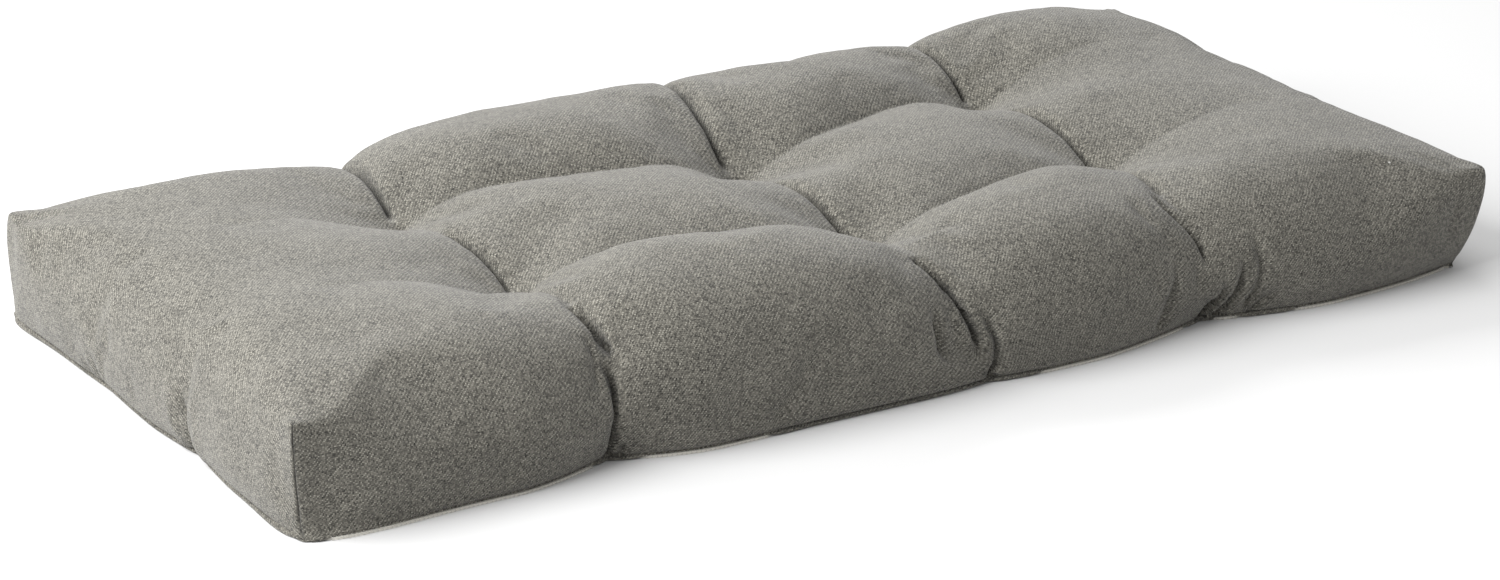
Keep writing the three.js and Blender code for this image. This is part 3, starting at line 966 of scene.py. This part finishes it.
def wovenGroup():
    # twill of heathered yarns: at each crossing either the dark warp or the light weft lies on top
    tree, given, result = newGroup(
        "woven_cloth",
        (
            ("Place", "Vector"), ("Pitch", "Float"), ("Warp", "Color"), ("Weft", "Color"),
            ("Heather", "Float"), ("Mottle", "Float"),
        ),
        (("Color", "Color"), ("Height", "Float"), ("Roughness", "Float")),
    )
    wobble = {"Vector": given["Place"], "Scale": yarns["wobbleScale"], "Detail": 1.0}
    wobble = add(tree, "TexNoise", wobble).outputs["Color"]
    drift = add(tree, "VectorMath", {0: wobble, 1: (0.5, 0.5, 0.5)}, operation="SUBTRACT")
    drift = add(tree, "VectorMath", {0: drift.outputs[0], "Scale": yarns["wobble"]}, operation="SCALE")
    place = add(tree, "VectorMath", {0: given["Place"], 1: drift.outputs[0]}, operation="ADD")
    perMetre = maths(tree, "DIVIDE", 1.0, given["Pitch"])
    threads = add(tree, "VectorMath", {0: place.outputs[0], "Scale": perMetre}, operation="SCALE")
    axes = add(tree, "SeparateXYZ", {0: threads.outputs[0]})
    u, v = axes.outputs["X"], axes.outputs["Y"]
    warp, weft = maths(tree, "FLOOR", u), maths(tree, "FLOOR", v)
    turn = maths(tree, "FLOORED_MODULO", maths(tree, "SUBTRACT", weft, warp), 3.0)
    weftOver = maths(tree, "LESS_THAN", turn, 0.5)

    def yarnTone(number, along, shift):
        across = maths(tree, "MULTIPLY", number, yarns["toneAcross"])
        onward = maths(tree, "MULTIPLY", along, yarns["toneAlong"])
        spot = add(tree, "CombineXYZ", {0: across, 1: onward, 2: shift})
        noise = add(tree, "TexNoise", {"Vector": spot.outputs[0], "Scale": 1.0, "Detail": 2.0})
        return noise.outputs["Fac"]

    def roundness(axis):
        return maths(tree, "ABSOLUTE", maths(tree, "SINE", maths(tree, "MULTIPLY", axis, math.pi)))

    def either(a, b):
        # a where the warp shows and b where the weft does
        made = add(tree, "Mix", {0: weftOver}, data_type="FLOAT")
        tree.links.new(a, made.inputs[2])
        tree.links.new(b, made.inputs[3])
        return made.outputs[0]

    tone = either(yarnTone(warp, v, 0.0), yarnTone(weft, u, 9.0))
    crossing = add(tree, "CombineXYZ", {0: warp, 1: weft}).outputs[0]
    fleck = add(tree, "TexWhiteNoise", {"Vector": crossing}, noise_dimensions="2D").outputs["Value"]
    height = either(roundness(u), roundness(v))
    yarnShift = maths(tree, "MULTIPLY", maths(tree, "SUBTRACT", tone, 0.5), yarns["toneSpread"])
    fleckShift = maths(tree, "MULTIPLY", maths(tree, "SUBTRACT", fleck, 0.5), yarns["fleckSpread"])
    uneven = maths(tree, "ADD", yarnShift, fleckShift)
    uneven = maths(tree, "MULTIPLY", uneven, given["Heather"])
    # painted shade and highlight: each yarn darker towards its edges and lighter on its crown, from its
    # height
    yarnShadeRange = {"Value": height, "To Min": yarns["gapShade"], "To Max": yarns["crownHighlight"]}
    yarnShade = add(tree, "MapRange", yarnShadeRange)
    patches = {"Vector": given["Place"], "Scale": yarns["patchScale"], "Detail": 4.0, "Roughness": 0.62}
    patches = add(tree, "TexNoise", patches)
    worn = maths(tree, "MULTIPLY", maths(tree, "SUBTRACT", patches.outputs["Fac"], 0.5), given["Mottle"])
    bright = maths(tree, "ADD", maths(tree, "ADD", uneven, yarnShade.outputs[0]), maths(tree, "ADD", worn, 1.0))
    yarn = blend(tree, weftOver, given["Warp"], given["Weft"])
    bright = maths(tree, "MAXIMUM", bright, yarns["darkest"])
    shaded = add(tree, "VectorMath", {0: yarn, "Scale": bright}, operation="SCALE")
    tree.links.new(shaded.outputs[0], result["Color"])
    tree.links.new(height, result["Height"])
    roughness = {"Value": tone, "To Min": yarns["roughDark"], "To Max": yarns["roughLight"]}
    rough = add(tree, "MapRange", roughness)
    tree.links.new(rough.outputs[0], result["Roughness"])
    return tree


wovenCloth = wovenGroup()
greyCloth = {
    "Pitch": 0.00092,
    "Warp": (0.1040, 0.0980, 0.0830, 1),
    "Weft": (0.1755, 0.1690, 0.1450, 1),
    "Heather": 0.86,
    "Mottle": 0.40,
}
greyFinish = {
    "relief": 0.52,
    "reliefDepth": 0.0004,
    "creaseShade": 0.62,
    "seamShade": 0.7,
    "nepScale": 11.0,  # pale slubs per metre each way
    "nepSize": 0.0085,
    "nepShare": 0.6,
    "nepColour": (0.7, 0.69, 0.66, 1),
}


def emptyMaterial(name):
    material = bpy.data.materials.new(name)
    material.use_nodes = True
    return material, material.node_tree, material.node_tree.nodes["Principled BSDF"]


def placedGroup(tree, group, place, values):
    made = add(tree, "Group", node_tree=group)
    tree.links.new(place, made.inputs["Place"])
    for label, value in values.items():
        made.inputs[label].default_value = value
    return made


def clothMaterial(name, cloth, finish):
    material, tree, shader = emptyMaterial(name)
    place = add(tree, "UVMap", uv_map="cloth").outputs[0]
    weave = placedGroup(tree, wovenCloth, place, cloth)
    pressedIn = add(tree, "Attribute", attribute_name="pressed").outputs["Fac"]
    seamLine = add(tree, "Attribute", attribute_name="seam").outputs["Fac"]
    # painted shade: the cloth is darker in the creases, by the pressed attribute
    paintedCreaseShade = maths(tree, "MULTIPLY", maths(tree, "POWER", pressedIn, 2.0), finish["creaseShade"])
    # painted shade: the cloth is darker along the corner seams, by the seam attribute
    sunk = maths(tree, "MULTIPLY", seamLine, finish["seamShade"])
    shade = maths(tree, "SUBTRACT", 1.0, maths(tree, "MAXIMUM", paintedCreaseShade, sunk))
    cells = {"Vector": place, "Scale": finish["nepScale"], "Randomness": 1.0}
    cells = add(tree, "TexVoronoi", cells, feature="F1")
    nep = maths(tree, "LESS_THAN", cells.outputs["Distance"], finish["nepSize"])
    colour = add(tree, "VectorMath", {0: weave.outputs["Color"], "Scale": shade}, operation="SCALE")
    nepShare = maths(tree, "MULTIPLY", nep, finish["nepShare"])
    colour = blend(tree, nepShare, colour.outputs[0], finish["nepColour"])
    tree.links.new(colour, shader.inputs["Base Color"])
    tree.links.new(weave.outputs["Roughness"], shader.inputs["Roughness"])
    raised = {"Height": weave.outputs["Height"], "Strength": finish["relief"]}
    bump = add(tree, "Bump", {**raised, "Distance": finish["reliefDepth"]})
    tree.links.new(bump.outputs[0], shader.inputs["Normal"])
    shader.inputs["Sheen Weight"].default_value = 0.18
    shader.inputs["Sheen Roughness"].default_value = 0.5
    shader.inputs["Specular IOR Level"].default_value = 0.25
    return material


cushion.data.materials.append(clothMaterial("grey_cloth", greyCloth, greyFinish))


def fibreGroup():
    # fine pale fibres with broader patches among them
    numbers = ("Fibre Scale", "Fibre Detail", "Fibre Roughness", "Fibre Share")
    numbers += ("Patch Scale", "Patch Detail", "Patch Share")
    tree, given, result = newGroup(
        "pale_fibres",
        (
            ("Place", "Vector"), *((label, "Float") for label in numbers),
            ("Dark", "Color"), ("Light", "Color"),
        ),
        (("Color", "Color"), ("Height", "Float")),
    )
    fibres = {"Vector": given["Place"], "Scale": given["Fibre Scale"]}
    fibres |= {"Detail": given["Fibre Detail"], "Roughness": given["Fibre Roughness"]}
    fibres = add(tree, "TexNoise", fibres).outputs["Fac"]
    patches = {"Vector": given["Place"], "Scale": given["Patch Scale"], "Detail": given["Patch Detail"]}
    patches = add(tree, "TexNoise", patches).outputs["Fac"]
    fine = maths(tree, "MULTIPLY", fibres, given["Fibre Share"])
    tone = maths(tree, "ADD", fine, maths(tree, "MULTIPLY", patches, given["Patch Share"]))
    tree.links.new(blend(tree, tone, given["Dark"], given["Light"]), result["Color"])
    tree.links.new(fibres, result["Height"])
    return tree


paleFibres = fibreGroup()
backingLook = {
    "fibres": {
        "Fibre Scale": 900.0,
        "Fibre Detail": 4.0,
        "Fibre Roughness": 0.7,
        "Fibre Share": 0.7,
        "Patch Scale": 30.0,
        "Patch Detail": 3.0,
        "Patch Share": 0.3,
        "Dark": (0.46, 0.44, 0.39, 1),
        "Light": (0.72, 0.70, 0.65, 1),
    },
    "relief": {"Strength": 0.4, "Distance": 0.0003},
    "roughness": 0.92,
}
threadLook = {
    "fibres": {
        "Fibre Scale": 2600.0,
        "Fibre Detail": 2.0,
        "Fibre Roughness": 0.5,
        "Fibre Share": 0.5,
        "Patch Scale": 70.0,
        "Patch Detail": 2.0,
        "Patch Share": 0.5,
        "Dark": (0.30, 0.29, 0.26, 1),
        "Light": (0.60, 0.58, 0.54, 1),
    },
    "relief": {"Strength": 0.5, "Distance": 0.0001},
    "roughness": 0.85,
}


def fibreMaterial(name, look):
    material, tree, shader = emptyMaterial(name)
    place = add(tree, "TexCoord").outputs["Object"]
    fibres = placedGroup(tree, paleFibres, place, look["fibres"])
    tree.links.new(fibres.outputs["Color"], shader.inputs["Base Color"])
    bump = add(tree, "Bump", {"Height": fibres.outputs["Height"], **look["relief"]})
    tree.links.new(bump.outputs[0], shader.inputs["Normal"])
    shader.inputs["Roughness"].default_value = look["roughness"]
    return material


backingSheet.data.materials.append(fibreMaterial("pale_backing", backingLook))
overlockThread.data.materials.append(fibreMaterial("pale_thread", threadLook))
print("cloth materials made")


# floor and studio light, in metres; each softbox: place, point it faces, width, height and power
studioLight = {
    "floorSize": 14,
    "floorColour": (0.62, 0.62, 0.62, 1),
    "surround": 0.66,
    "boxes": {
        "left": ((-2.1, 0.1, 1.7), (0, 0, 0), 2.2, 1.8, 134),
        "back": ((0.0, 5.2, 3.3), (0, 0, 0), 4.0, 2.0, 282),
    },
}


def studio():
    bpy.ops.mesh.primitive_plane_add(size=studioLight["floorSize"])
    floor = bpy.context.object
    floor.name = "floor"
    paint = bpy.data.materials.new("white_floor")
    paint.use_nodes = True
    shader = paint.node_tree.nodes["Principled BSDF"]
    shader.inputs["Base Color"].default_value = studioLight["floorColour"]
    shader.inputs["Roughness"].default_value = 1.0
    shader.inputs["Specular IOR Level"].default_value = 0.0
    floor.data.materials.append(paint)
    world = bpy.data.worlds.new("studio")
    world.use_nodes = True
    world.node_tree.nodes["Background"].inputs["Color"].default_value = (1, 1, 1, 1)
    world.node_tree.nodes["Background"].inputs["Strength"].default_value = studioLight["surround"]
    scene.world = world
    for name, (place, aim, width, height, watts) in studioLight["boxes"].items():
        box = bpy.data.objects.new(name, bpy.data.lights.new(name, "AREA"))
        scene.collection.objects.link(box)
        box.data.shape = "RECTANGLE"
        box.data.size, box.data.size_y, box.data.energy = width, height, watts
        box.location = place
        box.rotation_euler = (Vector(place) - Vector(aim)).to_track_quat("Z", "Y").to_euler()
    scene.view_settings.view_transform = "Standard"
    print("floor and lights placed:", len(studioLight["boxes"]), "softboxes")


studio()
addCamera(cameraView)
